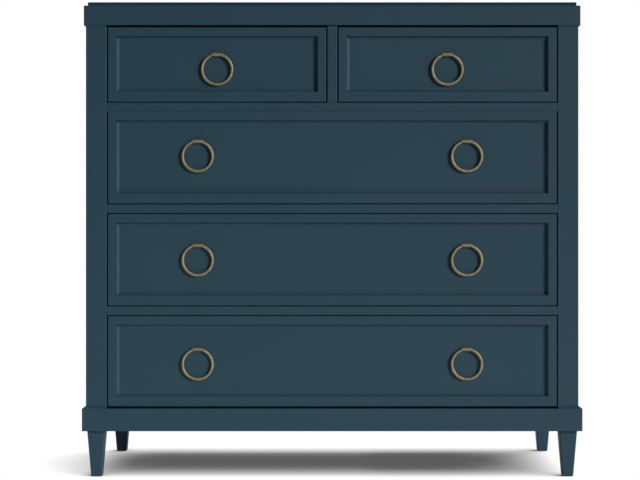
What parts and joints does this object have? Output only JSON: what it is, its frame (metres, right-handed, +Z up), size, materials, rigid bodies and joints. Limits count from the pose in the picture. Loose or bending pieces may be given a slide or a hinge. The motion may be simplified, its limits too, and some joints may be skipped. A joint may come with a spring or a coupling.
{
  "type": "chest of drawers",
  "caption": "Flat-fronted painted chest with small drawers over wide ones, coved drawer fronts, brass ring pulls, a stepped top, a plinth moulding and square tapered feet.",
  "frame": {"origin": "on the floor, under the middle of the chest's bounding box, pulls included", "axes": "+X along the chest to the right as seen from the front, +Y from the front to the back, +Z up"},
  "size_m": [1.118, 0.483, 1.0629],
  "materials": {
    "blue_paint": "satin dark teal-blue paint on wood",
    "plain_wood": "bare pale wood, lightly sealed",
    "aged_brass": "antique brass, brushed by use"
  },
  "bodies": {
    "case": {"back_left_foot": "blue_paint", "back_right_foot": "blue_paint", "front_left_foot": "blue_paint", "front_right_foot": "blue_paint", "plinth": "blue_paint", "top_band": "blue_paint", "top_board": "blue_paint", "upper_rail": "blue_paint", "middle_rail": "blue_paint", "lower_rail": "blue_paint", "bottom_rail": "blue_paint", "drawer_divider": "blue_paint", "front_right_post": "blue_paint", "front_left_post": "blue_paint", "back_right_post": "blue_paint", "back_left_post": "blue_paint", "frame_rails": "blue_paint", "right_side_panel": "blue_paint", "left_side_panel": "blue_paint", "back_panel": "plain_wood", "drawer_runners": "plain_wood", "drawer_stops": "plain_wood"},
    "top_left_drawer": {"top_left_drawer_front": "blue_paint", "top_left_drawer_right_side": "plain_wood", "top_left_drawer_left_side": "plain_wood", "top_left_drawer_back": "plain_wood", "top_left_drawer_bottom": "plain_wood", "top_left_drawer_pull_posts": "aged_brass"},
    "top_left_ring": {"top_left_ring": "aged_brass"},
    "top_right_drawer": {"top_right_drawer_front": "blue_paint", "top_right_drawer_right_side": "plain_wood", "top_right_drawer_left_side": "plain_wood", "top_right_drawer_back": "plain_wood", "top_right_drawer_bottom": "plain_wood", "top_right_drawer_pull_posts": "aged_brass"},
    "top_right_ring": {"top_right_ring": "aged_brass"},
    "upper_drawer": {"upper_drawer_front": "blue_paint", "upper_drawer_right_side": "plain_wood", "upper_drawer_left_side": "plain_wood", "upper_drawer_back": "plain_wood", "upper_drawer_bottom": "plain_wood", "upper_drawer_pull_posts": "aged_brass"},
    "upper_left_ring": {"upper_left_ring": "aged_brass"},
    "upper_right_ring": {"upper_right_ring": "aged_brass"},
    "middle_drawer": {"middle_drawer_front": "blue_paint", "middle_drawer_right_side": "plain_wood", "middle_drawer_left_side": "plain_wood", "middle_drawer_back": "plain_wood", "middle_drawer_bottom": "plain_wood", "middle_drawer_pull_posts": "aged_brass"},
    "middle_left_ring": {"middle_left_ring": "aged_brass"},
    "middle_right_ring": {"middle_right_ring": "aged_brass"},
    "lower_drawer": {"lower_drawer_front": "blue_paint", "lower_drawer_right_side": "plain_wood", "lower_drawer_left_side": "plain_wood", "lower_drawer_back": "plain_wood", "lower_drawer_bottom": "plain_wood", "lower_drawer_pull_posts": "aged_brass"},
    "lower_left_ring": {"lower_left_ring": "aged_brass"},
    "lower_right_ring": {"lower_right_ring": "aged_brass"}
  },
  "joints": [
    {"name": "top_left_drawer_slide", "type": "slide", "parent": "case", "child": "top_left_drawer", "axis": [0, -1, 0], "range_m": [0, 0.33]},
    {"name": "top_left_ring_swing", "type": "hinge", "parent": "top_left_drawer", "child": "top_left_ring", "pos_m": [-0.25785, -0.2298, 0.94545], "axis": [-1, 0, 0], "range_deg": [-0.5, 165]},
    {"name": "top_right_drawer_slide", "type": "slide", "parent": "case", "child": "top_right_drawer", "axis": [0, -1, 0], "range_m": [0, 0.33]},
    {"name": "top_right_ring_swing", "type": "hinge", "parent": "top_right_drawer", "child": "top_right_ring", "pos_m": [0.25785, -0.2298, 0.94545], "axis": [-1, 0, 0], "range_deg": [-0.5, 165]},
    {"name": "upper_drawer_slide", "type": "slide", "parent": "case", "child": "upper_drawer", "axis": [0, -1, 0], "range_m": [0, 0.33]},
    {"name": "upper_left_ring_swing", "type": "hinge", "parent": "upper_drawer", "child": "upper_left_ring", "pos_m": [-0.3015, -0.2298, 0.7512], "axis": [-1, 0, 0], "range_deg": [-0.5, 165]},
    {"name": "upper_right_ring_swing", "type": "hinge", "parent": "upper_drawer", "child": "upper_right_ring", "pos_m": [0.3015, -0.2298, 0.7512], "axis": [-1, 0, 0], "range_deg": [-0.5, 165]},
    {"name": "middle_drawer_slide", "type": "slide", "parent": "case", "child": "middle_drawer", "axis": [0, -1, 0], "range_m": [0, 0.33]},
    {"name": "middle_left_ring_swing", "type": "hinge", "parent": "middle_drawer", "child": "middle_left_ring", "pos_m": [-0.3015, -0.2298, 0.5182], "axis": [-1, 0, 0], "range_deg": [-0.5, 165]},
    {"name": "middle_right_ring_swing", "type": "hinge", "parent": "middle_drawer", "child": "middle_right_ring", "pos_m": [0.3015, -0.2298, 0.5182], "axis": [-1, 0, 0], "range_deg": [-0.5, 165]},
    {"name": "lower_drawer_slide", "type": "slide", "parent": "case", "child": "lower_drawer", "axis": [0, -1, 0], "range_m": [0, 0.33]},
    {"name": "lower_left_ring_swing", "type": "hinge", "parent": "lower_drawer", "child": "lower_left_ring", "pos_m": [-0.3015, -0.2298, 0.28535], "axis": [-1, 0, 0], "range_deg": [-0.5, 165]},
    {"name": "lower_right_ring_swing", "type": "hinge", "parent": "lower_drawer", "child": "lower_right_ring", "pos_m": [0.3015, -0.2298, 0.28535], "axis": [-1, 0, 0], "range_deg": [-0.5, 165]}
  ]
}
